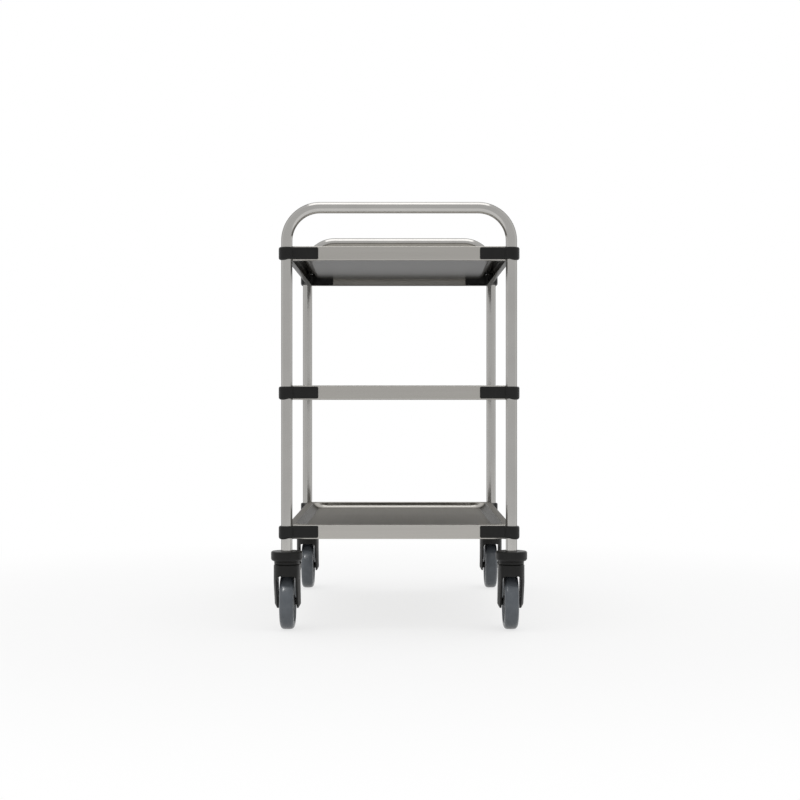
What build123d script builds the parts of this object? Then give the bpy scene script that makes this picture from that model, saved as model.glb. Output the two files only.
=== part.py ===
from build123d import *
import os
from math import atan2, degrees, hypot

os.makedirs("parts", exist_ok=True)

# Driving dimensions in millimetres. X runs across the trolley, Y along it, Z up from the floor.
# Tube end frames
tube_span_x = 500.0  # between tube axes, across
tube_span_y = 800.0  # between tube axes, along
tube_diameter = 25.0
tube_wall = 1.5
bend_radius = 74.0  # tube centreline at the corners of the handle
handle_rise = 98.0  # from the top shelf to the top of the handle

# Pressed steel shelves
shelf_pitch = 310.0
shelf_clearance = 26.4  # from the bumper discs to the bottom shelf
rim_height = 32.0
sheet = 1.0  # steel thickness
fold_radius = 2.5  # outside of the folds along the rim
lip_width = 12.0  # rim turned in along its lower edge
border_width = 17.0  # flat band between the rim and the well
well_wall_depth = 9.0
well_wall_run = 3.0
well_cove_depth = 6.0
well_cove_run = 12.0
well_corner_radius = 42.0
notch_room = 1.0  # between the tube and the corner cut of the sheet

# Plastic corner shells outside the rim, and clamps inside it
arm_reach = 70.0  # from the tube axis
arm_thickness = 5.0
arm_inset = 2.5  # steel left bare above and below an arm
collar_wall = 5.5
collar_blend = 8.0  # hollow curve where an arm meets the collar
nose_drop = 2.5  # the collar's outer quarter reaches lower than the arms
edge_break = 2.0
tip_radius = 3.5  # round ends of the arms, seen from the side
clamp_thickness = 6.0
saddle_wall = 7.0
tube_fit = 0.15  # radial room between a tube and the plastic round it

# Screws from the clamp through the rim into the shell
screw_diameter = 5.0
screw_offset = 45.0  # from the tube axis
screw_head_width = 8.0  # across flats
screw_head_height = 3.5
screw_bite = 3.5  # length held in the shell
screw_room = 0.2

# Bumper discs and swivel heads
disc_diameter = 70.0
disc_height = 22.0
disc_edge = 3.0
disc_socket = 6.0  # depth that the tube sits in
neck_diameter = 56.0
neck_height = 6.8
neck_edge = 1.5
kingpin_diameter = 20.0
swivel_gap = 0.8  # open line between the neck and the fork
swivel_fit = 0.05  # radial, kingpin in fork
retainer_gap = 0.4  # between the fork and the stem bolt's flange

# Stem bolts that expand a sleeve in the tube
stem_diameter = 10.0
stem_fit = 0.2
flange_diameter = 28.0
flange_thickness = 2.5
stem_head_width = 17.0
stem_head_height = 5.5
sleeve_length = 45.0
sleeve_fit = 0.15
nut_width = 17.0
nut_height = 8.0
stem_end = 3.0  # thread past the nut

# Wheels
wheel_diameter = 125.0
wheel_width = 32.0
shoulder_radius = 8.0
tyre_thickness = 14.0
bead_rise = 4.5  # height over which the tyre swells from the core's rim to its full width
core_rim_width = 25.0
core_rim_wall = 5.0
core_web = 14.0  # thickness between hub and rim
core_boss_diameter = 26.0
core_draft = 2.5
axle_diameter = 8.0
axle_fit = 0.05
bush_wall = 3.0
hub_gap = 0.4  # between the hub and each boss of the fork
axle_head_diameter = 10.5
axle_head_height = 2.0
axle_head_room = 0.4

# Forks
trail = 36.0  # axle behind the swivel axis
crown_diameter = 58.0
crown_thickness = 16.0
crown_room = 8.0  # crown above the wheel
crown_edge = 1.5
crown_tail = 5.0  # crown reaches this much further at the rear
arch_drop = 9.0  # the front skirt hangs this far below the crown
arch_corner = 8.0
leg_gap = 41.0  # between the legs
leg_front = 17.0  # front of a leg ahead of the swivel axis, under the crown
leg_end_radius = 15.5  # round end of a leg at the axle
leg_edge_run = 9.5  # width of the slope round a leg's outer face
leg_edge_drop = 5.0
inner_boss_radius = 8.5  # bosses that reach from the legs to the wheel's hub
wheel_room = 3.5

# Brake pedals on the rear casters
pedal_setback = 27.0  # pivot behind the swivel axis
pedal_drop = 10.0  # pivot below the crown's top
pedal_width = 40.0
pedal_reach = 52.0
pedal_corner = 9.0
pedal_toe = 4.5  # thickness at the foot's end
pedal_rise = 10.0  # degrees
pedal_barrel = 12.0
pedal_pin_diameter = 6.0
pedal_pin_fit = 0.06
pedal_pin_depth = 5.0
pedal_side_gap = 0.8
brake_travel = 25.0  # degrees
brake_gap = 0.5  # between the pressed pedal and the tyre
brake_lobe_width = 4.0
brake_bay_room = 1.0

# Levels from the floor up
tube_radius = tube_diameter / 2
axle_level = wheel_diameter / 2
crown_underside = wheel_diameter + crown_room
crown_top = crown_underside + crown_thickness
arch_level = crown_underside - arch_drop
skirt_level = arch_level - arch_corner
neck_underside = crown_top + swivel_gap
disc_underside = neck_underside + neck_height
disc_top = disc_underside + disc_height
tube_foot = disc_top - disc_socket
bottom_rim = disc_top + shelf_clearance
rim_levels = {
    "bottom": bottom_rim,
    "middle": bottom_rim + shelf_pitch,
    "top": bottom_rim + 2 * shelf_pitch,
}
handle_axis = rim_levels["top"] + rim_height + handle_rise - tube_radius

# Places that follow
arm_height = rim_height - 2 * arm_inset
collar_radius = tube_radius + collar_wall
screw_hole = screw_diameter / 2 + screw_room
retainer_level = crown_underside - retainer_gap
sleeve_top = tube_foot + sleeve_length
core_radius = wheel_diameter / 2 - tyre_thickness
axle_span = crown_diameter / 2 - axle_head_height - axle_head_room
corners = {
    "front_left": (-1, -1),
    "front_right": (1, -1),
    "rear_left": (-1, 1),
    "rear_right": (1, 1),
}
braked = ("rear_left", "rear_right")


def corner_point(corner, level):
    """Point on a tube axis."""
    side_x, side_y = corners[corner]
    return (side_x * tube_span_x / 2, side_y * tube_span_y / 2, level)


def corner_plane(corner, level):
    """Level plane on a tube axis, with both its axes pointing in along the rims."""
    side_x, side_y = corners[corner]
    inward = (-side_x, 0, 0) if side_x == side_y else (0, -side_y, 0)
    return Plane(corner_point(corner, level), x_dir=inward, z_dir=(0, 0, 1))


def front_plane(corner, setback=0.0, level=0.0):
    """Upright plane across a caster: its x runs across the trolley, its y up."""
    x, y, z = corner_point(corner, level)
    return Plane((x, y + setback, z), x_dir=(1, 0, 0), z_dir=(0, -1, 0))


def side_plane(corner, setback=0.0, level=0.0):
    """Upright plane along a caster: its x runs to the rear, its y up."""
    x, y, z = corner_point(corner, level)
    return Plane((x, y + setback, z), x_dir=(0, 1, 0), z_dir=(1, 0, 0))


def swivel_axis(corner):
    """Upright axis of a tube and its caster."""
    return Axis(corner_point(corner, 0), (0, 0, 1))


def axle_axis(corner):
    """Level axis of a wheel."""
    return Axis(front_plane(corner, trail, axle_level).origin, (1, 0, 0))


def screw_places(rim_level):
    """Places on the rim's outer face, each facing in, where the corner screws pass."""
    places = []
    for side_x, side_y in corners.values():
        middle = rim_level + rim_height / 2
        across = (side_x * (tube_span_x / 2 - screw_offset), side_y * tube_span_y / 2, middle)
        along = (side_x * tube_span_x / 2, side_y * (tube_span_y / 2 - screw_offset), middle)
        places.append(Plane(across, x_dir=(0, 0, 1), z_dir=(0, -side_y, 0)).location)
        places.append(Plane(along, x_dir=(0, 0, 1), z_dir=(-side_x, 0, 0)).location)
    return places


def save(piece, name):
    """Labels a finished piece and writes it."""
    piece.label = name
    export_step(piece, f"parts/{name}.step")


def make_end_frame(side_y):
    """One tube bent into two legs and a handle bar."""
    with BuildPart() as end_frame:
        with BuildLine(Plane.XZ.offset(-side_y * tube_span_y / 2)) as route:
            FilletPolyline(
                (-tube_span_x / 2, tube_foot),
                (-tube_span_x / 2, handle_axis),
                (tube_span_x / 2, handle_axis),
                (tube_span_x / 2, tube_foot),
                radius=bend_radius,
            )
        with BuildSketch(Plane((-tube_span_x / 2, side_y * tube_span_y / 2, tube_foot))) as section:
            Circle(tube_radius)
            Circle(tube_radius - tube_wall, mode=Mode.SUBTRACT)
        sweep(sections=section.sketch, path=route.line)
    return end_frame.part


def well_form(level, growth):
    """The well's stepped slope below a level, grown sideways for the outside of the sheet."""
    width = tube_span_x - 2 * (border_width - growth)
    length = tube_span_y - 2 * (border_width - growth)
    radius = well_corner_radius + growth
    with BuildPart() as well:
        with BuildSketch(Plane((0, 0, level), z_dir=(0, 0, -1))):
            RectangleRounded(width, length, radius)
        extrude(amount=well_wall_depth, taper=degrees(atan2(well_wall_run, well_wall_depth)))
        with BuildSketch(Plane((0, 0, level - well_wall_depth), z_dir=(0, 0, -1))):
            RectangleRounded(width - 2 * well_wall_run, length - 2 * well_wall_run, radius - well_wall_run)
        extrude(amount=well_cove_depth, taper=degrees(atan2(well_cove_run, well_cove_depth)))
    return well.part


def folded_block(level, height, inset, radius):
    """Block the size of a shelf, inset all round, with rounded long edges."""
    with BuildPart() as block:
        with BuildSketch(Plane.XY.offset(level)):
            Rectangle(tube_span_x - 2 * inset, tube_span_y - 2 * inset)
        extrude(amount=height)
        fillet(block.faces().filter_by(Axis.Z).edges(), radius=radius)
    return block.part


def make_shelf(rim_level):
    """Sheet shelf: pressed well, flat border, and a rim folded down and in."""
    top = rim_level + rim_height
    outside = folded_block(rim_level, rim_height, 0, fold_radius)
    inside = folded_block(rim_level + sheet, rim_height - 2 * sheet, sheet, fold_radius - sheet)
    with BuildPart() as shelf:
        add(outside)
        add(inside, mode=Mode.SUBTRACT)
        with BuildSketch(Plane.XY.offset(rim_level)):
            Rectangle(tube_span_x - 2 * lip_width, tube_span_y - 2 * lip_width)
        extrude(amount=sheet, mode=Mode.SUBTRACT)
        add(well_form(top - sheet, sheet))
        add(well_form(top, 0), mode=Mode.SUBTRACT)
        with BuildSketch(Plane.XY.offset(rim_level)):
            with GridLocations(tube_span_x, tube_span_y, 2, 2):
                Circle(tube_radius + notch_room)
        extrude(amount=rim_height, mode=Mode.SUBTRACT)
        with Locations(*screw_places(rim_level)):
            Cylinder(screw_hole, 2 * sheet, mode=Mode.SUBTRACT)
    return shelf.part


def outer_edges(face, corner):
    """Edges of a shell's level face that show from outside the trolley."""
    plane = corner_plane(corner, 0)
    bore = tube_radius + tube_fit
    shown = ShapeList()
    for edge in face.edges():
        place = plane.to_local_coords(edge @ 0.5)
        if min(place.X, place.Y) < -3 / 4 * arm_thickness and hypot(place.X, place.Y) > bore + tube_fit:
            shown.append(edge)
    return shown


def arm_tips(piece, corner):
    """Short level edges at the free ends of a corner piece's arms."""
    plane = corner_plane(corner, 0)
    tips = ShapeList()
    for face in piece.faces():
        place = plane.to_local_coords(face.center())
        if abs(max(place.X, place.Y) - arm_reach) < tube_fit:
            tips.extend(face.edges().filter_by(Axis.Z, reverse=True))
    return tips


def make_corner_shell(corner, rim_level):
    """Collar round the outside of a tube, with an arm along each rim and a lower nose."""
    arm_level = rim_level + arm_inset
    with BuildPart() as shell:
        with BuildSketch(corner_plane(corner, arm_level)) as outline:
            Circle(collar_radius)
            Rectangle(arm_reach, arm_thickness, align=(Align.MIN, Align.MAX))
            Rectangle(arm_thickness, arm_reach, align=(Align.MAX, Align.MIN))
            hollows = outline.vertices().filter_by(lambda v: abs(hypot(v.X, v.Y) - collar_radius) < tube_fit)
            fillet(hollows, radius=collar_blend)
            Rectangle(arm_reach, arm_reach, align=(Align.MIN, Align.MIN), mode=Mode.SUBTRACT)
            Circle(tube_radius + tube_fit, mode=Mode.SUBTRACT)
        extrude(amount=arm_height)
        fillet(arm_tips(shell, corner), tip_radius)
        with BuildSketch(corner_plane(corner, arm_level)):
            Circle(collar_radius)
            Circle(tube_radius + tube_fit, mode=Mode.SUBTRACT)
            Rectangle(collar_radius, collar_radius, align=(Align.MAX, Align.MAX), mode=Mode.INTERSECT)
        extrude(amount=-nose_drop)
        chamfer(outer_edges(shell.faces().sort_by(Axis.Z)[-1], corner), edge_break)
        chamfer(outer_edges(shell.faces().sort_by(Axis.Z)[0], corner), edge_break)
    return shell.part


def make_corner_shells(rim_level):
    """The four shells of one shelf, bored for their screws."""
    with BuildPart() as shells:
        for corner in corners:
            add(make_corner_shell(corner, rim_level))
        with Locations(*screw_places(rim_level)):
            Cylinder(screw_hole, 2 * (screw_bite + screw_room), mode=Mode.SUBTRACT)
    return shells.part


def make_corner_clamps(rim_level):
    """The four clamps of one shelf: a saddle inside each tube, and arms behind the rims."""
    with BuildPart() as clamps:
        for corner in corners:
            with BuildSketch(corner_plane(corner, rim_level + fold_radius)):
                Circle(tube_radius + saddle_wall)
                with Locations((sheet, sheet)):
                    Rectangle(arm_reach - sheet, clamp_thickness, align=(Align.MIN, Align.MIN))
                    Rectangle(clamp_thickness, arm_reach - sheet, align=(Align.MIN, Align.MIN))
                    Rectangle(arm_reach, arm_reach, align=(Align.MIN, Align.MIN), mode=Mode.INTERSECT)
                Circle(tube_radius + tube_fit, mode=Mode.SUBTRACT)
            extrude(amount=rim_height - 2 * fold_radius)
            fillet(arm_tips(clamps, corner), tip_radius)
        with Locations(*screw_places(rim_level)):
            Cylinder(screw_hole, 2 * (sheet + clamp_thickness), mode=Mode.SUBTRACT)
    return clamps.part


def make_corner_screws():
    """Hexagon screws at every corner arm, heads inside."""
    grip = screw_bite + sheet + clamp_thickness
    with BuildPart() as screws:
        for rim_level in rim_levels.values():
            for place in screw_places(rim_level):
                with BuildSketch(Plane(place).offset(-screw_bite)):
                    Circle(screw_diameter / 2)
                extrude(amount=grip)
                with BuildSketch(Plane(place).offset(sheet + clamp_thickness)):
                    RegularPolygon(screw_head_width / 2, 6, major_radius=False)
                extrude(amount=screw_head_height)
    return screws.part


def make_bumper_discs():
    """Soft-edged discs, each with a socket for the foot of its tube."""
    with BuildPart() as discs:
        for corner in corners:
            with BuildSketch(front_plane(corner)) as section:
                with Locations((0, disc_underside)):
                    Rectangle(disc_diameter / 2, disc_height, align=(Align.MIN, Align.MIN))
                fillet(section.vertices().sort_by(Axis.X)[-2:], disc_edge)
                with Locations((0, disc_underside)):
                    Rectangle(
                        stem_diameter / 2 + stem_fit,
                        disc_height,
                        align=(Align.MIN, Align.MIN),
                        mode=Mode.SUBTRACT,
                    )
                with Locations((0, tube_foot)):
                    Rectangle(
                        tube_radius + tube_fit,
                        disc_socket,
                        align=(Align.MIN, Align.MIN),
                        mode=Mode.SUBTRACT,
                    )
            revolve(axis=swivel_axis(corner))
    return discs.part


def make_swivel_heads():
    """Necks under the discs, each with a hollow kingpin that its fork turns on."""
    with BuildPart() as heads:
        for corner in corners:
            with BuildSketch(front_plane(corner)) as section:
                with Locations((0, neck_underside)):
                    Rectangle(neck_diameter / 2, neck_height, align=(Align.MIN, Align.MIN))
                chamfer(section.vertices().sort_by(Axis.X)[-2:].sort_by(Axis.Y)[0], neck_edge)
                with Locations((0, retainer_level)):
                    Rectangle(
                        kingpin_diameter / 2,
                        disc_underside - retainer_level,
                        align=(Align.MIN, Align.MIN),
                    )
                    Rectangle(
                        stem_diameter / 2 + stem_fit,
                        disc_underside - retainer_level,
                        align=(Align.MIN, Align.MIN),
                        mode=Mode.SUBTRACT,
                    )
            revolve(axis=swivel_axis(corner))
    return heads.part


def make_stem_bolts():
    """Flanged bolts that hold each caster up in its tube."""
    with BuildPart() as bolts:
        for corner in corners:
            x, y, flange_level = corner_point(corner, retainer_level - flange_thickness)
            with BuildSketch(Plane((x, y, flange_level - stem_head_height))):
                RegularPolygon(stem_head_width / 2, 6, major_radius=False)
            extrude(amount=stem_head_height)
            with BuildSketch(Plane((x, y, flange_level))):
                Circle(flange_diameter / 2)
            extrude(amount=flange_thickness)
            with BuildSketch(Plane((x, y, retainer_level))):
                Circle(stem_diameter / 2)
            extrude(amount=sleeve_top + nut_height + stem_end - retainer_level)
    return bolts.part


def make_expander_sleeves():
    """Rubber sleeves that the stem bolts squeeze out against the tubes."""
    with BuildPart() as sleeves:
        for corner in corners:
            with BuildSketch(Plane(corner_point(corner, tube_foot))):
                Circle(tube_radius - tube_wall - sleeve_fit)
                Circle(stem_diameter / 2 + stem_fit, mode=Mode.SUBTRACT)
            extrude(amount=sleeve_length)
    return sleeves.part


def make_expander_nuts():
    """Nuts over the sleeves, inside the tubes."""
    with BuildPart() as nuts:
        for corner in corners:
            with BuildSketch(Plane(corner_point(corner, sleeve_top))):
                RegularPolygon(nut_width / 2, 6, major_radius=False)
                Circle(stem_diameter / 2 + stem_fit, mode=Mode.SUBTRACT)
            extrude(amount=nut_height)
    return nuts.part


def make_axle(corner):
    """Rivet through the fork and the wheel."""
    with BuildPart() as axle:
        with BuildSketch(front_plane(corner, trail, axle_level)):
            Rectangle(2 * axle_span, axle_diameter / 2, align=(Align.CENTER, Align.MIN))
            with Locations((axle_span, 0)):
                Rectangle(axle_head_height, axle_head_diameter / 2, align=(Align.MIN, Align.MIN))
            with Locations((-axle_span, 0)):
                Rectangle(axle_head_height, axle_head_diameter / 2, align=(Align.MAX, Align.MIN))
        revolve(axis=axle_axis(corner))
    return axle.part


def make_wheel_bush(corner):
    """Plain bearing sleeve in the wheel's core."""
    inner = axle_diameter / 2 + axle_fit
    with BuildPart() as bush:
        with BuildSketch(front_plane(corner, trail, axle_level)):
            with Locations((0, inner)):
                Rectangle(wheel_width, bush_wall, align=(Align.CENTER, Align.MIN))
        revolve(axis=axle_axis(corner))
    return bush.part


def make_wheel_core(corner):
    """Wheel body: a long hub, a thin web and a rim, the same on both sides."""
    hub = wheel_width / 2
    web = core_web / 2
    rim = core_rim_width / 2
    boss = core_boss_diameter / 2
    rim_inside = core_radius - core_rim_wall
    half = [
        (hub, axle_diameter / 2 + axle_fit + bush_wall),
        (hub, boss),
        (web, boss + core_draft),
        (web, rim_inside - core_draft),
        (rim, rim_inside),
        (rim, core_radius),
    ]
    with BuildPart() as core:
        with BuildSketch(front_plane(corner, trail, axle_level)):
            with BuildLine():
                Polyline(*half, *[(-x, r) for x, r in reversed(half)], close=True)
            make_face()
        revolve(axis=axle_axis(corner))
    return core.part


def make_tyre(corner):
    """Tyre that swells from the core's rim to round shoulders."""
    half = [
        (core_rim_width / 2, core_radius),
        (wheel_width / 2, core_radius + bead_rise),
        (wheel_width / 2, wheel_diameter / 2),
    ]
    with BuildPart() as tyre:
        with BuildSketch(front_plane(corner, trail, axle_level)) as section:
            with BuildLine():
                Polyline(*half, *[(-x, r) for x, r in reversed(half)], close=True)
            make_face()
            fillet(section.vertices().sort_by(Axis.Y)[-2:], shoulder_radius)
        revolve(axis=axle_axis(corner))
    return tyre.part


def make_fork_leg(corner):
    """The leg on a caster's right: swept back to a round end, its outer face framed by a slope."""
    with BuildPart() as leg:
        with BuildSketch(side_plane(corner).offset(leg_gap / 2)):
            with Locations((-leg_front, skirt_level)):
                Rectangle(
                    leg_front + crown_diameter / 2 + crown_tail,
                    crown_top - 2 * crown_edge - skirt_level,
                    align=(Align.MIN, Align.MIN),
                )
            with Locations((trail, axle_level)):
                Circle(leg_end_radius)
            make_hull()
        extrude(amount=crown_diameter / 2 - leg_gap / 2)
        outer_face = leg.faces().sort_by(Axis.X)[-1]
        chamfer(outer_face.edges(), leg_edge_run, leg_edge_drop, reference=outer_face)
    return leg.part


def make_fork(corner):
    """Moulded fork: round crown with an arch, and two swept legs that hold the axle."""
    crown_radius = crown_diameter / 2
    boss_face = wheel_width / 2 + hub_gap
    leg = make_fork_leg(corner)
    with BuildPart() as fork:
        with BuildSketch(Plane(corner_point(corner, skirt_level))):
            Circle(crown_radius)
            Rectangle(crown_diameter, crown_radius + crown_tail, align=(Align.CENTER, Align.MIN))
        extrude(amount=crown_top - skirt_level)
        chamfer(fork.faces().sort_by(Axis.Z)[-1].edges(), crown_edge)
        add(leg)
        mirror(leg, about=side_plane(corner))
        # Seen from above, the front is round.
        with BuildSketch(Plane(corner_point(corner, 0))):
            Circle(crown_radius)
            Rectangle(crown_diameter, 2 * crown_diameter, align=(Align.CENTER, Align.MIN))
        extrude(amount=crown_top, mode=Mode.INTERSECT)
        # Arch between the legs, with room for the wheel
        with BuildSketch(front_plane(corner)) as arch:
            with Locations((0, arch_level)):
                Rectangle(leg_gap, arch_level, align=(Align.CENTER, Align.MAX))
            fillet(arch.vertices().sort_by(Axis.Y)[-2:], arch_corner)
        extrude(amount=2 * crown_diameter, both=True, mode=Mode.SUBTRACT)
        with BuildSketch(side_plane(corner)):
            with Locations((trail, axle_level)):
                Circle(wheel_diameter / 2 + wheel_room)
        extrude(amount=leg_gap / 2, both=True, mode=Mode.SUBTRACT)
        # Bosses that reach in to the wheel's hub
        with BuildSketch(front_plane(corner, trail, axle_level)):
            with Locations((boss_face, 0)):
                Rectangle(leg_gap / 2 - boss_face, inner_boss_radius, align=(Align.MIN, Align.MIN))
            with Locations((-boss_face, 0)):
                Rectangle(leg_gap / 2 - boss_face, inner_boss_radius, align=(Align.MAX, Align.MIN))
        revolve(axis=axle_axis(corner))
        # Kingpin bore over the pocket for the stem bolt's head
        with BuildSketch(Plane(corner_point(corner, crown_underside))):
            Circle(kingpin_diameter / 2 + swivel_fit)
        extrude(amount=crown_thickness, mode=Mode.SUBTRACT)
        with BuildSketch(Plane(corner_point(corner, skirt_level))):
            Circle(flange_diameter / 2 + wheel_room)
        extrude(amount=crown_underside - skirt_level, mode=Mode.SUBTRACT)
        # Axle bore with a recess for each rivet head
        with BuildSketch(front_plane(corner, trail, axle_level)):
            Rectangle(crown_diameter, axle_diameter / 2 + 2 * axle_fit, align=(Align.CENTER, Align.MIN))
            with Locations((axle_span, 0)):
                Rectangle(crown_radius, axle_head_diameter / 2 + axle_head_room, align=(Align.MIN, Align.MIN))
            with Locations((-axle_span, 0)):
                Rectangle(crown_radius, axle_head_diameter / 2 + axle_head_room, align=(Align.MAX, Align.MIN))
        revolve(axis=axle_axis(corner), mode=Mode.SUBTRACT)
        if corner in braked:
            # Open bay at the rear of the crown for the pedal, with a blind hole each side
            bay_front = pedal_setback - pedal_barrel / 2 - brake_bay_room
            with BuildSketch(side_plane(corner)):
                with Locations((bay_front, crown_top)):
                    Rectangle(crown_diameter, crown_thickness + arch_drop, align=(Align.MIN, Align.MAX))
            extrude(amount=leg_gap / 2, both=True, mode=Mode.SUBTRACT)
            with BuildSketch(side_plane(corner, pedal_setback, crown_top - pedal_drop)):
                Circle(pedal_pin_diameter / 2 + pedal_pin_fit)
            extrude(amount=leg_gap / 2 + pedal_pin_depth, both=True, mode=Mode.SUBTRACT)
    return fork.part


def make_brake_pedal(corner):
    """Foot pedal whose lobe presses on the tyre when the pedal is down."""
    x, y, level = side_plane(corner, pedal_setback, crown_top - pedal_drop).origin
    pivot = side_plane(corner, pedal_setback, crown_top - pedal_drop)
    wheel_reach = hypot(trail - pedal_setback, level - axle_level)
    lobe_tip = wheel_reach - wheel_diameter / 2 - brake_gap - brake_lobe_width / 2
    wheel_bearing = degrees(atan2(axle_level - level, trail - pedal_setback))
    with BuildPart() as pedal:
        with BuildSketch(pivot):
            Circle(pedal_barrel / 2)
            with Locations(Location((0, 0), pedal_rise)):
                with Locations((pedal_reach - pedal_toe / 2, 0)):
                    Circle(pedal_toe / 2)
            make_hull()
        extrude(amount=pedal_width / 2 - pedal_side_gap, both=True)
        # Seen from above, the foot's corners are round.
        with BuildSketch(Plane((x, y, 0))) as plan:
            Rectangle(pedal_width, 2 * pedal_reach)
            fillet(plan.vertices(), pedal_corner)
        extrude(amount=crown_top + pedal_reach, mode=Mode.INTERSECT)
        with BuildSketch(pivot):
            Circle(brake_lobe_width / 2)
            with Locations(Location((0, 0), wheel_bearing + brake_travel)):
                with Locations((lobe_tip, 0)):
                    Circle(brake_lobe_width / 2)
            make_hull()
        extrude(amount=pedal_width / 2 - pedal_side_gap, both=True)
        with BuildSketch(pivot):
            Circle(pedal_pin_diameter / 2)
        extrude(amount=leg_gap / 2 + pedal_pin_depth - pedal_side_gap, both=True)
    return pedal.part


for tier, rim_level in rim_levels.items():
    save(make_shelf(rim_level), f"shelf_{tier}")
    save(make_corner_shells(rim_level), f"corner_shells_{tier}")
    save(make_corner_clamps(rim_level), f"corner_clamps_{tier}")

save(make_end_frame(-1), "end_frame_front")
save(make_end_frame(1), "end_frame_rear")
save(make_corner_screws(), "corner_screws")
save(make_bumper_discs(), "bumper_discs")
save(make_swivel_heads(), "swivel_heads")
save(make_stem_bolts(), "stem_bolts")
save(make_expander_sleeves(), "expander_sleeves")
save(make_expander_nuts(), "expander_nuts")

for corner in corners:
    save(make_fork(corner), f"fork_{corner}")
    save(make_axle(corner), f"axle_{corner}")
    save(make_wheel_bush(corner), f"wheel_bush_{corner}")
    save(make_wheel_core(corner), f"wheel_core_{corner}")
    save(make_tyre(corner), f"tyre_{corner}")

for corner in braked:
    save(make_brake_pedal(corner), f"brake_pedal_{corner}")
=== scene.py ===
from math import asin, cos, degrees, pi, radians, sin, sqrt, tan

import bmesh
import bpy
from mathutils import Matrix, Vector


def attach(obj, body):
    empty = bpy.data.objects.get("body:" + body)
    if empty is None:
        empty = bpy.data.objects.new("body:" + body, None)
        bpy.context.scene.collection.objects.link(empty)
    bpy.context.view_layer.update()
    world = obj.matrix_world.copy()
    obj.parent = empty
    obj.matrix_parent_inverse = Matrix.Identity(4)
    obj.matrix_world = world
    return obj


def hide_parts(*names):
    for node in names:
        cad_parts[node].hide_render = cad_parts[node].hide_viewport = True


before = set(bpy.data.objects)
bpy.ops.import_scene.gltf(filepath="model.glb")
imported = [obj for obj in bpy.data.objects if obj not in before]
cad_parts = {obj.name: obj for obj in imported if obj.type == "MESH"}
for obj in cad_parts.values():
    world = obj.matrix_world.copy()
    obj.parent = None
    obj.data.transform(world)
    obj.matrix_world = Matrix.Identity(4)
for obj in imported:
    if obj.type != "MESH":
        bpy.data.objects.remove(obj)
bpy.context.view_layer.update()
scene = bpy.context.scene

# Sizes in metres. X runs across, Y along the trolley, Z up.
HALF_X, HALF_Y = 0.25, 0.4
TUBE_R, TUBE_WALL, BEND_R, HANDLE_RISE = 0.0125, 0.0015, 0.074, 0.098
SHELF_CLEARANCE, SHELF_PITCH = 0.0264, 0.31
RIM, SHEET, FOLD, LIP, NOTCH_ROOM = 0.032, 0.001, 0.0025, 0.012, 0.001
BORDER, WELL_CORNER = 0.017, 0.042
ARM, ARM_T, ARM_INSET, TIP = 0.07, 0.005, 0.0025, 0.0035
COLLAR_WALL, TUBE_FIT, BLEND, NOSE = 0.0055, 0.00015, 0.014, 0.0025
DISC_R, DISC_HEIGHT, DISC_SOCKET = 0.035, 0.022, 0.006
NECK_R, NECK_HEIGHT, NECK_FOOT = 0.028, 0.0068, 0.1498
PIN_R, PIN_FOOT, STEM_BORE = 0.010, 0.1326, 0.0052
WHEEL_R, WHEEL_HALF, TRAIL = 0.0625, 0.016, 0.036
CORE_R, CORE_HALF = 0.0485, 0.0125

# Sizes and levels that follow from those above
NOTCH = TUBE_R + NOTCH_ROOM
COLLAR = TUBE_R + COLLAR_WALL
BORE = TUBE_R + TUBE_FIT
DISC_FOOT = NECK_FOOT + NECK_HEIGHT
DISC_TOP = DISC_FOOT + DISC_HEIGHT
TUBE_FOOT = DISC_TOP - DISC_SOCKET
TIERS = {
    tier: DISC_TOP + SHELF_CLEARANCE + SHELF_PITCH * i
    for i, tier in enumerate(("bottom", "middle", "top"))
}
HANDLE_Z = TIERS["top"] + RIM + HANDLE_RISE - TUBE_R

CORNERS = {
    "front_left": (-1, -1),
    "front_right": (1, -1),
    "rear_left": (-1, 1),
    "rear_right": (1, 1),
}
BRAKED = ("rear_left", "rear_right")

# Faces round each turned or swept form, and steps along its curves
TUBE_SIDES, DISC_SIDES, TYRE_SIDES, CORE_SIDES = 64, 72, 128, 96
BEND_STEPS, FOLD_STEPS, COVE_STEPS, WELL_CORNER_STEPS, NOTCH_STEPS = 20, 6, 12, 14, 10


# Materials

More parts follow.
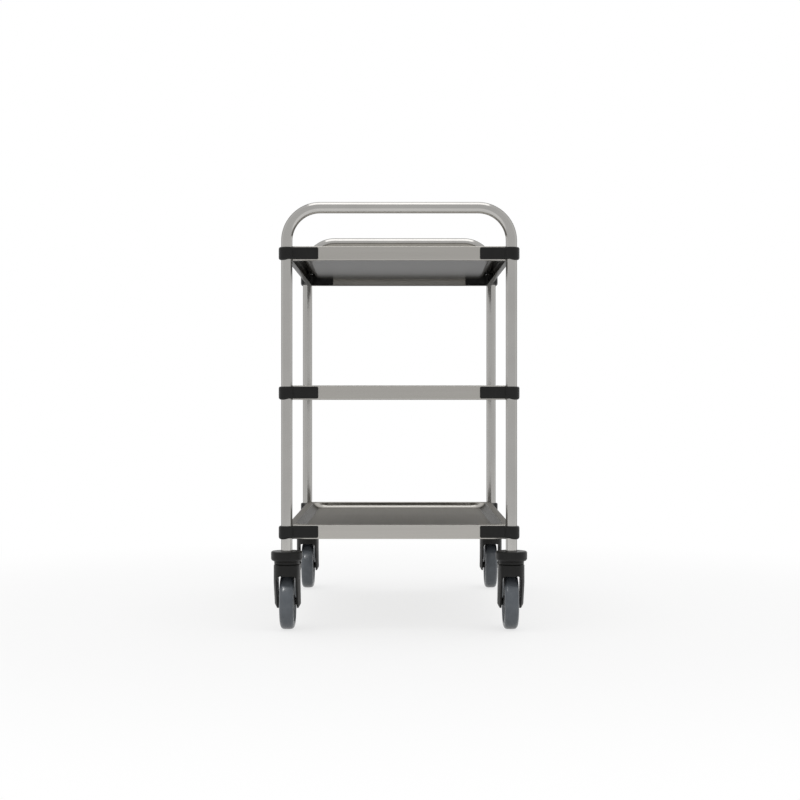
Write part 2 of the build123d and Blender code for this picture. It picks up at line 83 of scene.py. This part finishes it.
class Shader:
    """A material with a Principled surface, and short calls to add nodes to it."""

    def __init__(self, name, **inputs):
        self.material = bpy.data.materials.new(name)
        self.material.use_nodes = True
        self.tree = self.material.node_tree
        self.surface = self.tree.nodes["Principled BSDF"]
        self.set(self.surface, **inputs)

    def set(self, node, **inputs):
        for key, value in inputs.items():
            socket = node.inputs[key.replace("_", " ")]
            opaque = socket.type == "RGBA" and len(value) == 3
            socket.default_value = (*value, 1) if opaque else value

    def add(self, kind, **inputs):
        node = self.tree.nodes.new("ShaderNode" + kind)
        self.set(node, **inputs)
        return node

    def link(self, source, target):
        self.tree.links.new(source, target)

    def math(self, operation, a, b):
        node = self.add("Math")
        node.operation = operation
        for socket, value in zip(node.inputs, (a, b)):
            if isinstance(value, (int, float)):
                socket.default_value = value
            else:
                self.link(value, socket)
        return node.outputs[0]

    def stretched(self, scale):
        """Object coordinates in metres, multiplied along each axis."""
        place = self.add("Mapping", Scale=scale)
        self.link(self.add("TexCoord").outputs["Object"], place.inputs["Vector"])
        return place.outputs["Vector"]

    def noise(self, scale, detail=3.0, roughness=0.5):
        node = self.add("TexNoise", Scale=1.0, Detail=detail, Roughness=roughness)
        self.link(self.stretched(scale), node.inputs["Vector"])
        return node.outputs["Fac"]

    def ranged(self, value, low, high):
        """Spreads the middle values of a noise from low to high."""
        node = self.add("MapRange", From_Min=0.3, From_Max=0.7, To_Min=low, To_Max=high)
        self.link(value, node.inputs["Value"])
        return node.outputs["Result"]

    def mixed(self, factor, a, b):
        node = self.add("Mix")
        node.data_type = "FLOAT"
        self.link(factor, node.inputs[0])
        self.link(a, node.inputs[2])
        self.link(b, node.inputs[3])
        return node.outputs[0]

    def tinted(self, value, dark, light):
        """The surface colour runs from dark to light with a value."""
        node = self.add("Mix")
        node.data_type = "RGBA"
        self.link(value, node.inputs[0])
        node.inputs[6].default_value = (*dark, 1)
        node.inputs[7].default_value = (*light, 1)
        self.link(node.outputs[2], self.surface.inputs["Base Color"])

    def bumped(self, height, depth, strength=1.0):
        node = self.add("Bump", Strength=strength, Distance=depth)
        self.link(height, node.inputs["Height"])
        self.link(node.outputs["Normal"], self.surface.inputs["Normal"])


def facing(shader):
    """Two masks: level faces against upright ones, and faces that look up against the rest."""
    split = shader.add("SeparateXYZ")
    shader.link(shader.add("TexCoord").outputs["Normal"], split.inputs[0])
    slope = shader.add("MapRange", From_Min=0.93, From_Max=0.99, To_Min=0.0, To_Max=1.0)
    shader.link(shader.math("ABSOLUTE", split.outputs["Z"], 0.0), slope.inputs["Value"])
    return slope.outputs["Result"], shader.math("GREATER_THAN", split.outputs["Z"], 0.0)


def steel_sheet():
    """Stainless sheet: fine rolling lines along the floor and each rim, a smoother underside."""
    s = Shader("stainless_sheet", Metallic=1.0, Specular_Tint=(0.15, 0.15, 0.15))
    level, upper = facing(s)
    lines = s.mixed(level, s.noise((25, 25, 2600)), s.noise((2600, 25, 25)))
    broad = s.mixed(level, s.noise((3, 3, 160), detail=2.0), s.noise((160, 3, 3), detail=2.0))
    s.tinted(s.ranged(broad, 0.0, 1.0), (0.484, 0.468, 0.438), (0.504, 0.488, 0.458))
    flat = s.mixed(upper, s.ranged(lines, 0.17, 0.22), s.ranged(lines, 0.38, 0.46))
    s.link(s.mixed(level, s.ranged(lines, 0.20, 0.27), flat), s.surface.inputs["Roughness"])
    s.bumped(lines, 0.0000006)
    return s.material


def steel_tube():
    """Polished tube: fine polishing lines round it."""
    s = Shader("polished_tube", Metallic=1.0, Specular_Tint=(0.12, 0.12, 0.125))
    lines = s.noise((60, 60, 3200))
    cloud = s.noise((18, 18, 18))
    s.tinted(s.ranged(cloud, 0.0, 1.0), (0.490, 0.480, 0.461), (0.520, 0.510, 0.490))
    s.link(s.ranged(lines, 0.10, 0.16), s.surface.inputs["Roughness"])
    s.bumped(lines, 0.0000005)
    return s.material


def moulded(name, dark, light, rough, level, depth=0.00003):
    """Moulded plastic with a fine eroded grain."""
    s = Shader(name, Specular_IOR_Level=level)
    grain = s.noise((1500, 1500, 1500), roughness=0.6)
    cloud = s.noise((40, 40, 40), detail=4.0)
    s.tinted(s.ranged(cloud, 0.0, 1.0), dark, light)
    s.link(s.ranged(grain, rough - 0.06, rough + 0.08), s.surface.inputs["Roughness"])
    s.bumped(grain, depth, strength=0.6)
    return s.material


def tyre_rubber():
    """Blue-grey rubber with a dull bloom and fine pores."""
    s = Shader("grey_rubber", Specular_IOR_Level=0.40)
    pores = s.noise((900, 900, 900), detail=4.0, roughness=0.65)
    bloom = s.noise((55, 55, 55), detail=5.0, roughness=0.6)
    s.tinted(s.ranged(bloom, 0.0, 1.0), (0.084, 0.094, 0.106), (0.106, 0.117, 0.130))
    s.link(s.ranged(pores, 0.20, 0.28), s.surface.inputs["Roughness"])
    s.bumped(pores, 0.00002, strength=0.5)
    return s.material


def plated_steel(name, dark, light):
    """Plated or blackened steel with a faint mottle."""
    s = Shader(name, Metallic=1.0)
    cells = s.noise((320, 320, 320))
    s.tinted(s.ranged(cells, 0.0, 1.0), dark, light)
    s.link(s.ranged(cells, 0.26, 0.40), s.surface.inputs["Roughness"])
    s.bumped(cells, 0.00001)
    return s.material


MATERIALS = {
    "stainless_sheet": steel_sheet(),
    "polished_tube": steel_tube(),
    "black_plastic": moulded(
        "black_plastic",
        dark=(0.0128, 0.0127, 0.0123),
        light=(0.0158, 0.0157, 0.0153),
        rough=0.38,
        level=0.18,
    ),
    "core_plastic": moulded(
        "core_plastic",
        dark=(0.135, 0.140, 0.145),
        light=(0.165, 0.170, 0.175),
        rough=0.48,
        level=0.35,
    ),
    "bush_plastic": moulded(
        "bush_plastic",
        dark=(0.62, 0.61, 0.57),
        light=(0.70, 0.69, 0.66),
        rough=0.36,
        level=0.5,
        depth=0.00001,
    ),
    "black_rubber": moulded(
        "black_rubber",
        dark=(0.012, 0.012, 0.012),
        light=(0.020, 0.020, 0.020),
        rough=0.60,
        level=0.3,
    ),
    "grey_rubber": tyre_rubber(),
    "zinc_steel": plated_steel("zinc_steel", (0.44, 0.45, 0.46), (0.58, 0.59, 0.60)),
    "black_steel": plated_steel("black_steel", (0.020, 0.020, 0.021), (0.040, 0.040, 0.042)),
}


# Shared calls for the pieces

def piece(name, mesh, slot, body, nodes, sharp=50.0):
    """Links a finished mesh as a piece that rides on a body and stands for CAD nodes."""
    mesh.materials.clear()
    mesh.materials.append(MATERIALS[slot])
    mesh.shade_smooth()
    mesh.set_sharp_from_angle(angle=radians(sharp))
    thing = bpy.data.objects.new(name, mesh)
    scene.collection.objects.link(thing)
    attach(thing, body)
    for node in nodes:
        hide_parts(node)
    return thing


def weighted(thing):
    """Large flat faces keep flat shading next to narrow bends."""
    modifier = thing.modifiers.new("weights", "WEIGHTED_NORMAL")
    modifier.keep_sharp = True
    modifier.weight = 100


def as_mesh(name, shape):
    mesh = bpy.data.meshes.new(name)
    shape.to_mesh(mesh)
    shape.free()
    return mesh


def stitch(shape, rows, closed=False, wrap=False):
    """Quads between rows of vertices. closed joins a row's ends, wrap the last row to the first."""
    count = len(rows[0])
    pairs = list(zip(rows, rows[1:])) + ([(rows[-1], rows[0])] if wrap else [])
    for one, two in pairs:
        for i in range(count if closed else count - 1):
            j = (i + 1) % count
            shape.faces.new((one[i], one[j], two[j], two[i]))


def lathe(shape, profile, centre, axis, segments):
    """Turns a closed profile of (along, radius) points round an axis."""
    turn = Vector((0, 0, 1)).rotation_difference(Vector(axis)).to_matrix()
    rows = []
    for along, radius in profile:
        row = []
        for i in range(segments):
            angle = 2 * pi * i / segments
            point = Vector((radius * cos(angle), radius * sin(angle), along))
            row.append(shape.verts.new(Vector(centre) + turn @ point))
        rows.append(row)
    stitch(shape, rows, closed=True, wrap=True)
    bmesh.ops.recalc_face_normals(shape, faces=shape.faces)


def arc(centre, radius, start, end, steps):
    """Points of an arc, angles in degrees."""
    points = []
    for i in range(steps + 1):
        angle = radians(start + (end - start) * i / steps)
        points.append((centre[0] + radius * cos(angle), centre[1] + radius * sin(angle)))
    return points


def soft_profile(points, radii, steps):
    """A closed profile whose corners are rounded, each by its own radius."""
    out = []
    count = len(points)
    for i, radius in enumerate(radii):
        here = Vector(points[i])
        if radius == 0:
            out.append(tuple(here))
            continue
        to = (Vector(points[i - 1]) - here).normalized()
        fro = (Vector(points[(i + 1) % count]) - here).normalized()
        angle = to.angle(fro)
        back = radius / tan(angle / 2)
        middle = here + (to + fro).normalized() * (radius / sin(angle / 2))
        first = here + to * back - middle
        last = here + fro * back - middle
        sweep = first.angle_signed(last)
        for k in range(steps + 1):
            spin = Matrix.Rotation(-sweep * k / steps, 2)
            out.append(tuple(middle + spin @ first))
    return out


def softened(node, slot, body, width, segments=3):
    """A copy of a CAD node with its edges rounded."""
    same_point, same_plane, edge_angle = 0.00001, 0.6, 32.0
    shape = bmesh.new()
    shape.from_mesh(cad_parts[node].data)
    bmesh.ops.remove_doubles(shape, verts=shape.verts, dist=same_point)
    bmesh.ops.dissolve_limit(
        shape, angle_limit=radians(same_plane), verts=shape.verts, edges=shape.edges
    )
    thing = piece(node, as_mesh(node, shape), slot, body, [node], sharp=edge_angle)
    bevel = thing.modifiers.new("soft_edges", "BEVEL")
    bevel.width = width
    bevel.segments = segments
    bevel.limit_method = "ANGLE"
    bevel.angle_limit = radians(edge_angle)
    bevel.harden_normals = True
    bevel.use_clamp_overlap = True


def corner_at(corner, level):
    side_x, side_y = CORNERS[corner]
    return Vector((side_x * HALF_X, side_y * HALF_Y, level))


def wheel_centre(corner):
    return corner_at(corner, WHEEL_R) + Vector((0, TRAIL, 0))


# Tubes

def make_end_frame(name, y):
    """Hollow tube swept up one side, over the handle and down the other."""
    bend_z = HANDLE_Z - BEND_R
    path = [(-HALF_X, TUBE_FOOT)]
    path += arc((BEND_R - HALF_X, bend_z), BEND_R, 180, 90, BEND_STEPS)
    path += arc((HALF_X - BEND_R, bend_z), BEND_R, 90, 0, BEND_STEPS)
    path.append((HALF_X, TUBE_FOOT))
    points = [Vector((x, y, z)) for x, z in path]
    steps = [(b - a).normalized() for a, b in zip(points, points[1:])]
    across = Vector((0, 1, 0))
    shape = bmesh.new()
    skins = []
    for radius in (TUBE_R, TUBE_R - TUBE_WALL):
        rows = []
        for point, before, after in zip(points, steps[:1] + steps, steps + steps[-1:]):
            up = (before + after).normalized().cross(across)
            row = []
            for k in range(TUBE_SIDES):
                angle = 2 * pi * k / TUBE_SIDES
                out = cos(angle) * across + sin(angle) * up
                row.append(shape.verts.new(point + radius * out))
            rows.append(row)
        stitch(shape, rows, closed=True)
        skins.append(rows)
    for end in (0, -1):
        stitch(shape, [skins[0][end], skins[1][end]], closed=True)
    bmesh.ops.recalc_face_normals(shape, faces=shape.faces)
    piece(name, as_mesh(name, shape), "polished_tube", "frame", [name], sharp=40.0)


# Shelves

def rounded_loop(half_x, half_y, radius):
    """Points round a rectangle with rounded corners, anticlockwise from the front right corner."""
    points = []
    for side_x, side_y, start in ((1, -1, -90), (1, 1, 0), (-1, 1, 90), (-1, -1, 180)):
        centre = (side_x * (half_x - radius), side_y * (half_y - radius))
        points += arc(centre, radius, start, start + 90, WELL_CORNER_STEPS)
    return points


def well_profile():
    """(inwards, down) from the border to the floor: a soft edge, a slope and a wide cove."""
    edge, cove = 0.0025, 0.026
    slope = 58.5  # degrees
    straight = 0.001634  # left between edge and cove in a well 15 mm deep
    points = [(x, -y) for x, y in arc((0, -edge), edge, 90, 90 - slope, FOLD_STEPS)]
    x, down = points[-1]
    x += straight * cos(radians(slope))
    down += straight * sin(radians(slope))
    centre = (x + cove * sin(radians(slope)), down - cove * cos(radians(slope)))
    for i in range(COVE_STEPS + 1):
        angle = radians(slope * (1 - i / COVE_STEPS))
        points.append((centre[0] - cove * sin(angle), centre[1] + cove * cos(angle)))
    return points


def rim_profile():
    """(inset, height above the rim's foot) from the top fold down to the edge of the lip."""
    points = [(FOLD - x, RIM - FOLD + z) for x, z in arc((0, 0), FOLD, 90, 0, FOLD_STEPS)]
    points += [(FOLD - x, FOLD - z) for x, z in arc((0, 0), FOLD, 0, 90, FOLD_STEPS)]
    points.append((LIP, 0.0))
    return points


def add_well(shape, top):
    """Slopes and floor of a shelf's well. Gives back the vertices round its upper edge."""
    rows = []
    for inwards, down in well_profile():
        inset = BORDER + inwards
        loop = rounded_loop(HALF_X - inset, HALF_Y - inset, WELL_CORNER - inwards)
        rows.append([shape.verts.new((x, y, top - down)) for x, y in loop])
    stitch(shape, rows, closed=True)
    shape.faces.new(rows[-1])
    return rows[0]


def add_border(shape, top, well):
    """Flat band from the well to the folds, with a round notch for each tube."""
    outline = []
    swing = degrees(asin(FOLD / NOTCH))
    for k, (side_x, side_y) in enumerate(((1, -1), (1, 1), (-1, 1), (-1, -1))):
        start = 180 + 90 * k - swing
        centre = (side_x * HALF_X, side_y * HALF_Y)
        outline += arc(centre, NOTCH, start, start - 90 + 2 * swing, NOTCH_STEPS)
    edge = [shape.verts.new((x, y, top)) for x, y in outline]
    outer = [shape.edges.new((a, b)) for a, b in zip(edge, edge[1:] + edge[:1])]
    inner = [shape.edges.get((a, b)) for a, b in zip(well, well[1:] + well[:1])]
    bmesh.ops.triangle_fill(shape, edges=outer + inner, use_beauty=True, normal=(0, 0, 1))


def add_rims(shape, low):
    """Four rims, folded down and in, that end at the notches."""
    for side in range(4):
        ends = []
        for inset, height in rim_profile():
            gap = sqrt(NOTCH**2 - inset**2)
            x, y = HALF_X - gap, HALF_Y - inset
            if side % 2:
                x, y = HALF_X - inset, HALF_Y - gap
            around = ((-x, -y), (x, -y), (x, y), (-x, y))
            span = around[side], around[(side + 1) % 4]
            ends.append([shape.verts.new((a, b, low + height)) for a, b in span])
        stitch(shape, list(reversed(ends)))


def make_shelf(tier):
    """Sheet shelf with its upper side up and its thickness below."""
    same_point = 0.00002
    low = TIERS[tier]
    top = low + RIM
    shape = bmesh.new()
    well = add_well(shape, top)
    add_border(shape, top, well)
    add_rims(shape, low)
    bmesh.ops.remove_doubles(shape, verts=shape.verts, dist=same_point)
    bmesh.ops.recalc_face_normals(shape, faces=shape.faces)
    floor = max(shape.faces, key=lambda face: face.calc_area())
    if floor.normal.z < 0:
        bmesh.ops.reverse_faces(shape, faces=shape.faces)
    name = f"shelf_{tier}"
    shelf = piece(name, as_mesh(name, shape), "stainless_sheet", "frame", [name])
    thick = shelf.modifiers.new("thickness", "SOLIDIFY")
    thick.thickness = SHEET
    thick.offset = -1
    thick.use_even_offset = True
    weighted(shelf)


# Corner pieces

def shell_stations():
    """(outer, inner, softness) of a shell in plan, from an arm's end to the collar's middle."""
    arm_edge, collar_edge, end_radius, steps = 0.0022, 0.0042, 0.002, 6
    along_arm = (0.055, 0.040, 0.030)
    end = arc((ARM - end_radius, end_radius - ARM_T), end_radius, 0, -90, steps)
    stations = [((x, y), (x, 0.0), arm_edge) for x, y in end]
    touch = sqrt((COLLAR + BLEND) ** 2 - (ARM_T + BLEND) ** 2)
    lean = degrees(asin((ARM_T + BLEND) / (COLLAR + BLEND)))
    for x in (ARM - 0.8 * TIP, ARM - TIP, *along_arm, touch):
        stations.append(((x, -ARM_T), (x, 0.0), arm_edge))
    hollow = arc((touch, -ARM_T - BLEND), BLEND, 90, 180 - lean, steps)[1:]
    for i, point in enumerate(hollow, 1):
        inner = (touch + (BORE - touch) * i / steps, 0.0)
        stations.append((point, inner, arm_edge + (collar_edge - arm_edge) * i / steps))
    outer = arc((0, 0), COLLAR, -lean, -135, 2 * steps)[1:]
    inner = arc((0, 0), BORE, 0, -135, 2 * steps)[1:]
    return stations + [(a, b, collar_edge) for a, b in zip(outer, inner)]


def make_corner_shells(tier):
    """Four shells in one piece: round edges and arm ends, and a round nose under the collar."""
    same_point, nose_fullness = 0.000005, 0.6
    quarter_turn = range(0, 91, 15)
    low = TIERS[tier] + ARM_INSET
    high = TIERS[tier] + RIM - ARM_INSET
    half = shell_stations()
    chain = half + [(a[::-1], b[::-1], soft) for a, b, soft in reversed(half[:-1])]
    shape = bmesh.new()
    for side_x, side_y in CORNERS.values():
        rows = []
        for outer, inner, soft in chain:
            away = (Vector(outer) - Vector(inner)).normalized()
            short = min(TIP, max(0.0, TIP - ARM + max(outer)))
            drop = TIP - sqrt(TIP**2 - short**2)
            x, y = outer
            deep = (2 * x * y / (x * x + y * y)) ** nose_fullness if max(x, y) < 0 else 0.0
            foot = low + drop - NOSE * deep
            row = [(Vector(inner), foot)]
            for rise in quarter_turn:
                back = soft * (1 - sin(radians(rise)))
                up = soft * (1 - cos(radians(rise)))
                row.append((Vector(outer) - away * back, foot + up))
            row += [(point, high - drop + foot - z) for point, z in reversed(row)]
            verts = []
            for point, z in row:
                across, along = point if side_x == side_y else reversed(point)
                spot = (side_x * (HALF_X - across), side_y * (HALF_Y - along), z)
                verts.append(shape.verts.new(spot))
            rows.append(verts)
        stitch(shape, rows, closed=True)
        shape.faces.new(rows[0])
        shape.faces.new(rows[-1])
    bmesh.ops.remove_doubles(shape, verts=shape.verts, dist=same_point)
    bmesh.ops.recalc_face_normals(shape, faces=shape.faces)
    name = f"corner_shells_{tier}"
    weighted(piece(name, as_mesh(name, shape), "black_plastic", "frame", [name], sharp=45.0))


# Casters

def make_discs():
    """Bumper discs with soft rims."""
    lower_edge, upper_edge, mouth = 0.0065, 0.0035, 0.0006
    section = [(DISC_FOOT, STEM_BORE), (DISC_FOOT, DISC_R), (DISC_TOP, DISC_R)]
    section += [(DISC_TOP, BORE), (TUBE_FOOT, BORE), (TUBE_FOOT, STEM_BORE)]
    profile = soft_profile(section, [0, lower_edge, upper_edge, mouth, 0, 0], 7)
    shape = bmesh.new()
    for corner in CORNERS:
        lathe(shape, profile, corner_at(corner, 0), (0, 0, 1), DISC_SIDES)
    name = "bumper_discs"
    piece(name, as_mesh(name, shape), "black_plastic", "frame", [name])


def make_heads():
    """Necks under the discs, with their kingpins."""
    upper_edge, lower_edge, pin_edge = 0.0006, 0.0014, 0.0005
    section = [(DISC_FOOT, STEM_BORE), (DISC_FOOT, NECK_R), (NECK_FOOT, NECK_R)]
    section += [(NECK_FOOT, PIN_R), (PIN_FOOT, PIN_R), (PIN_FOOT, STEM_BORE)]
    profile = soft_profile(section, [0, upper_edge, lower_edge, 0, pin_edge, 0], 4)
    shape = bmesh.new()
    for corner in CORNERS:
        lathe(shape, profile, corner_at(corner, 0), (0, 0, 1), DISC_SIDES)
    name = "swivel_heads"
    piece(name, as_mesh(name, shape), "black_plastic", "frame", [name])


def make_tyre(corner):
    """Tyre with round shoulders and a faintly crowned tread."""
    bead_edge, wall_edge, shoulder = 0.0006, 0.003, 0.0095
    bead_rise, crown, tread_depth = 0.0045, 0.0010, 0.0002
    tread = (0.0045, 0.0025, 0.0, -0.0025, -0.0045)
    wall = CORE_R + bead_rise
    section = [(-CORE_HALF, CORE_R), (CORE_HALF, CORE_R), (WHEEL_HALF, wall)]
    section += [(x, WHEEL_R) for x in (WHEEL_HALF, *tread, -WHEEL_HALF)]
    section.append((-WHEEL_HALF, wall))
    radii = [bead_edge, bead_edge, wall_edge, shoulder]
    radii += [0] * len(tread) + [shoulder, wall_edge]
    profile = []
    for x, r in soft_profile(section, radii, 10):
        on_tread = r > WHEEL_R - tread_depth
        profile.append((x, r - crown * (x / WHEEL_HALF) ** 2 if on_tread else r))
    shape = bmesh.new()
    lathe(shape, profile, wheel_centre(corner), (1, 0, 0), TYRE_SIDES)
    name = f"tyre_{corner}"
    return piece(name, as_mesh(name, shape), "grey_rubber", f"wheel_{corner}", [name])


def make_core(corner):
    """Wheel body with soft transitions between hub, web and rim."""
    web_half, draft = 0.007, 0.0025
    bore, boss, inside = 0.00705, 0.013, 0.0435
    hub_edge, web_edge, rim_edge = 0.001, 0.0022, 0.0008
    half = [(WHEEL_HALF, bore), (WHEEL_HALF, boss), (web_half, boss + draft)]
    half += [(web_half, inside - draft), (CORE_HALF, inside), (CORE_HALF, CORE_R)]
    section = half + [(-x, r) for x, r in reversed(half)]
    radii = [0, hub_edge, web_edge, web_edge, rim_edge, 0]
    profile = soft_profile(section, radii + radii[::-1], 5)
    shape = bmesh.new()
    lathe(shape, profile, wheel_centre(corner), (1, 0, 0), CORE_SIDES)
    name = f"wheel_core_{corner}"
    piece(name, as_mesh(name, shape), "core_plastic", f"wheel_{corner}", [name])


# The trolley

make_end_frame("end_frame_front", -HALF_Y)
make_end_frame("end_frame_rear", HALF_Y)
for tier in TIERS:
    make_shelf(tier)
    make_corner_shells(tier)
    softened(f"corner_clamps_{tier}", "black_plastic", "frame", width=0.0007, segments=2)
make_discs()
make_heads()
tyres = [make_tyre(corner) for corner in CORNERS]
for corner in CORNERS:
    make_core(corner)
    softened(f"fork_{corner}", "black_plastic", f"caster_{corner}", width=0.0011)
for corner in BRAKED:
    softened(f"brake_pedal_{corner}", "black_plastic", f"pedal_{corner}", width=0.0008)

# Solids that are shown as they are
shown = {
    "corner_screws": "black_steel",
    "stem_bolts": "zinc_steel",
    "expander_nuts": "zinc_steel",
    "expander_sleeves": "black_rubber",
}
for corner in CORNERS:
    shown[f"axle_{corner}"] = "zinc_steel"
    shown[f"wheel_bush_{corner}"] = "bush_plastic"
for node, slot in shown.items():
    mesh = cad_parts[node].data
    mesh.materials.clear()
    mesh.materials.append(MATERIALS[slot])


# Studio

def seen_rays(tree):
    """1 for rays from the camera and for their reflections and transmissions."""
    path = tree.nodes.new("ShaderNodeLightPath")
    total = path.outputs["Is Camera Ray"]
    for name in ("Is Glossy Ray", "Is Transmission Ray"):
        node = tree.nodes.new("ShaderNodeMath")
        node.operation = "MAXIMUM"
        tree.links.new(total, node.inputs[0])
        tree.links.new(path.outputs[name], node.inputs[1])
        total = node.outputs[0]
    return total


def backdrop(tree, direction):
    """Brightness of the studio in a direction: white behind the trolley, dimmer in front of it."""
    limits = {"From Min": -0.5, "From Max": 0.8, "To Min": 0.70, "To Max": 1.0}
    split = tree.nodes.new("ShaderNodeSeparateXYZ")
    tree.links.new(direction, split.inputs[0])
    level = tree.nodes.new("ShaderNodeMapRange")
    level.interpolation_type = "SMOOTHSTEP"
    for name, value in limits.items():
        level.inputs[name].default_value = value
    tree.links.new(split.outputs["Y"], level.inputs["Value"])
    return level.outputs["Result"]


def floor_finish():
    """Pale matt floor that turns into the backdrop away from the trolley."""
    s = Shader(
        "studio_floor", Base_Color=(0.93, 0.93, 0.93), Roughness=0.9, Specular_IOR_Level=0.0
    )
    place = s.add("TexCoord").outputs["Object"]
    away, bearing = s.add("VectorMath"), s.add("VectorMath")
    away.operation, bearing.operation = "LENGTH", "NORMALIZE"
    s.link(place, away.inputs[0])
    s.link(place, bearing.inputs[0])

    def rising(near, far, low):
        """From low to 1 between two distances from the trolley's middle."""
        node = s.add("MapRange", From_Min=near, From_Max=far, To_Min=low, To_Max=1.0)
        node.interpolation_type = "SMOOTHSTEP"
        s.link(away.outputs["Value"], node.inputs["Value"])
        return node.outputs["Result"]

    share = s.math("MULTIPLY", rising(0.9, 2.0, 0.72), seen_rays(s.tree))
    dimmer = s.math("SUBTRACT", 1.0, backdrop(s.tree, bearing.outputs["Vector"]))
    dimmer = s.math("MULTIPLY", rising(1.9, 3.6, 0.0), dimmer)
    glow = s.add("Emission", Color=(1, 1, 1))
    s.link(s.math("SUBTRACT", 1.0, dimmer), glow.inputs["Strength"])
    both = s.add("MixShader")
    s.link(share, both.inputs[0])
    s.link(s.surface.outputs[0], both.inputs[1])
    s.link(glow.outputs[0], both.inputs[2])
    s.link(both.outputs[0], s.tree.nodes["Material Output"].inputs["Surface"])
    return s.material


def make_floor():
    """Floor that reaches far past the view on every side."""
    size = 60.0
    corners = [(-size, -size, 0), (size, -size, 0), (size, size, 0), (-size, size, 0)]
    mesh = bpy.data.meshes.new("studio_floor")
    mesh.from_pydata(corners, [], [(0, 1, 2, 3)])
    mesh.materials.append(floor_finish())
    floor = bpy.data.objects.new("studio_floor", mesh)
    scene.collection.objects.link(floor)


def make_world():
    """White studio, a little dimmer as a light than as a background."""
    world = bpy.data.worlds.new("studio")
    scene.world = world
    world.use_nodes = True
    tree = world.node_tree
    level = tree.nodes.new("ShaderNodeMapRange")
    level.inputs["To Min"].default_value = 0.78
    place = tree.nodes.new("ShaderNodeTexCoord")
    tree.links.new(backdrop(tree, place.outputs["Generated"]), level.inputs["To Max"])
    tree.links.new(seen_rays(tree), level.inputs["Value"])
    background = tree.nodes["Background"]
    background.inputs["Color"].default_value = (1, 1, 1, 1)
    tree.links.new(level.outputs["Result"], background.inputs["Strength"])


def make_lamp(name, place, target, width, height, power, lit=()):
    """Soft box aimed at a point. It lights everything, or only the pieces in lit."""
    light = bpy.data.lights.new(name, "AREA")
    light.shape = "RECTANGLE"
    light.size = width
    light.size_y = height
    light.energy = power
    lamp = bpy.data.objects.new(name, light)
    lamp.location = place
    lamp.rotation_euler = (Vector(target) - Vector(place)).to_track_quat("-Z", "Y").to_euler()
    scene.collection.objects.link(lamp)
    if lit:
        group = bpy.data.collections.new(name)
        for thing in lit:
            group.objects.link(thing)
        lamp.light_linking.receiver_collection = group


make_floor()
make_world()
make_lamp(
    "overhead",
    place=(0.0, 0.05, 3.2),
    target=(0, 0.05, 0.5),
    width=1.9,
    height=3.0,
    power=22,
)
make_lamp(
    "tyre_lamp",
    place=(-1.1, -2.3, 3.1),
    target=(0, -0.3, 0.3),
    width=0.35,
    height=0.35,
    power=30,
    lit=tyres,
)

# Level camera, fitted to the photo
view = bpy.data.cameras.new("camera")
view.lens = 72.117
view.sensor_width = 36.0
camera = bpy.data.objects.new("camera", view)
camera.location = (0.002, -3.967, 0.5145)
camera.rotation_euler = (pi / 2, 0, 0)
scene.collection.objects.link(camera)
scene.camera = camera
scene.view_settings.view_transform = "Standard"
